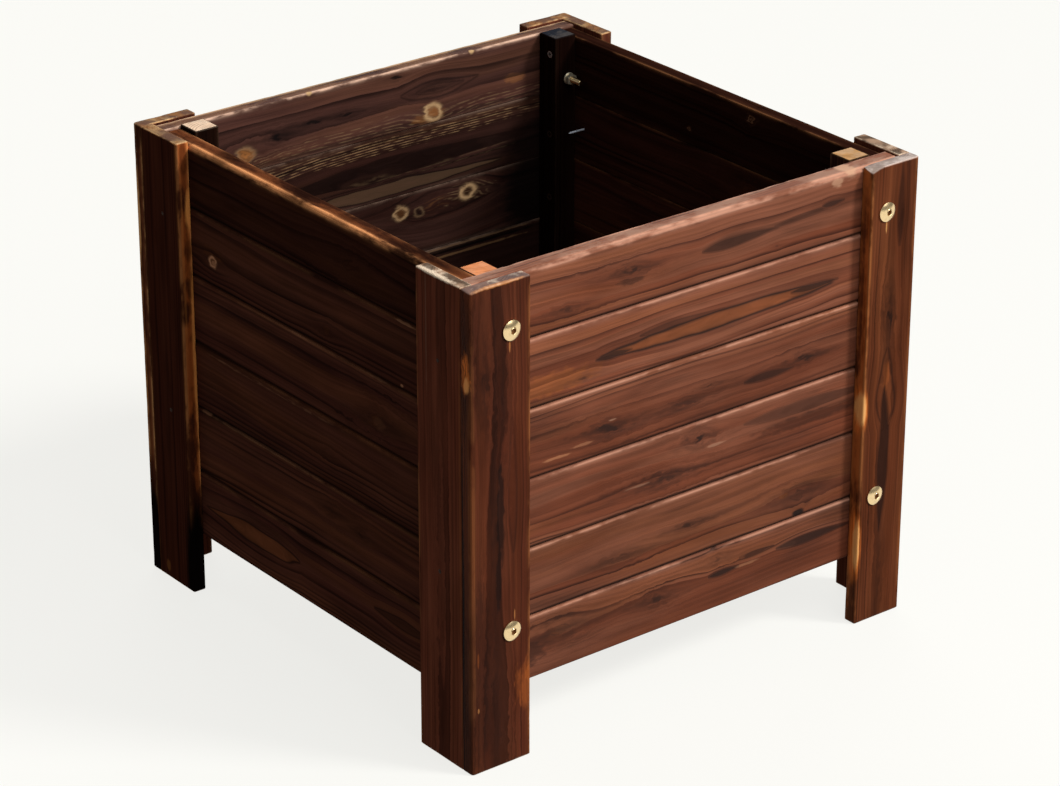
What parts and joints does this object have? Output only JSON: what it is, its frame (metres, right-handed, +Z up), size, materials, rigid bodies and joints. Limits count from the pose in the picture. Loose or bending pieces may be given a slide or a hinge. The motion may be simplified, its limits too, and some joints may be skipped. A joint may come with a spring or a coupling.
{
  "type": "planter box",
  "caption": "Square planter box of charred softwood boards on four corner legs, bolted through the corners, with an open top and a slatted draining floor.",
  "frame": {"origin": "middle of the footprint, at the level of the feet", "axes": "+Z up; front (bolted face) faces -Y, so the bolts run along Y; the plain side faces are at -X and +X"},
  "size_m": [0.5, 0.5076, 0.45],
  "materials": {
    "wood_front": "charred softwood, reddish brown, brushed, open grain",
    "wood_back": "charred softwood, reddish brown, brushed, open grain",
    "wood_side": "charred softwood, dark brown, brushed, open grain",
    "wood_leg_face": "charred softwood, brown, pale where edges are worn",
    "wood_leg_side": "charred softwood, dark brown, pale where edges are worn",
    "wood_post": "charred softwood with pale end grain",
    "wood_floor": "charred softwood, dull",
    "bolt_brass": "bright yellow plating",
    "washer_zinc": "yellow zinc plating",
    "screw_steel": "bright zinc plating",
    "nail_steel": "plain wire nail"
  },
  "bodies": {
    "root": {"front_board_1": "wood_front", "front_board_2": "wood_front", "front_board_3": "wood_front", "front_board_4": "wood_front", "front_board_5": "wood_front", "front_board_6": "wood_front", "back_board_1": "wood_back", "back_board_2": "wood_back", "back_board_3": "wood_back", "back_board_4": "wood_back", "back_board_5": "wood_back", "back_board_6": "wood_back", "left_board_1": "wood_side", "left_board_2": "wood_side", "left_board_3": "wood_side", "left_board_4": "wood_side", "left_board_5": "wood_side", "left_board_6": "wood_side", "right_board_1": "wood_side", "right_board_2": "wood_side", "right_board_3": "wood_side", "right_board_4": "wood_side", "right_board_5": "wood_side", "right_board_6": "wood_side", "front_left_leg_face": "wood_leg_face", "front_right_leg_face": "wood_leg_face", "back_left_leg_face": "wood_leg_face", "back_right_leg_face": "wood_leg_face", "front_left_leg_side": "wood_leg_side", "front_right_leg_side": "wood_leg_side", "back_left_leg_side": "wood_leg_side", "back_right_leg_side": "wood_leg_side", "front_left_post": "wood_post", "front_right_post": "wood_post", "back_left_post": "wood_post", "back_right_post": "wood_post", "front_bearer": "wood_floor", "back_bearer": "wood_floor", "floor_slat_1": "wood_floor", "floor_slat_2": "wood_floor", "floor_slat_3": "wood_floor", "floor_slat_4": "wood_floor", "floor_slat_5": "wood_floor", "floor_slat_6": "wood_floor", "floor_slat_7": "wood_floor", "bolts": "bolt_brass", "washers": "washer_zinc", "nuts": "washer_zinc", "post_screws": "screw_steel", "bearer_screws": "screw_steel", "wall_nails": "nail_steel", "leg_nails": "nail_steel", "slat_nails": "nail_steel"}
  },
  "joints": []
}
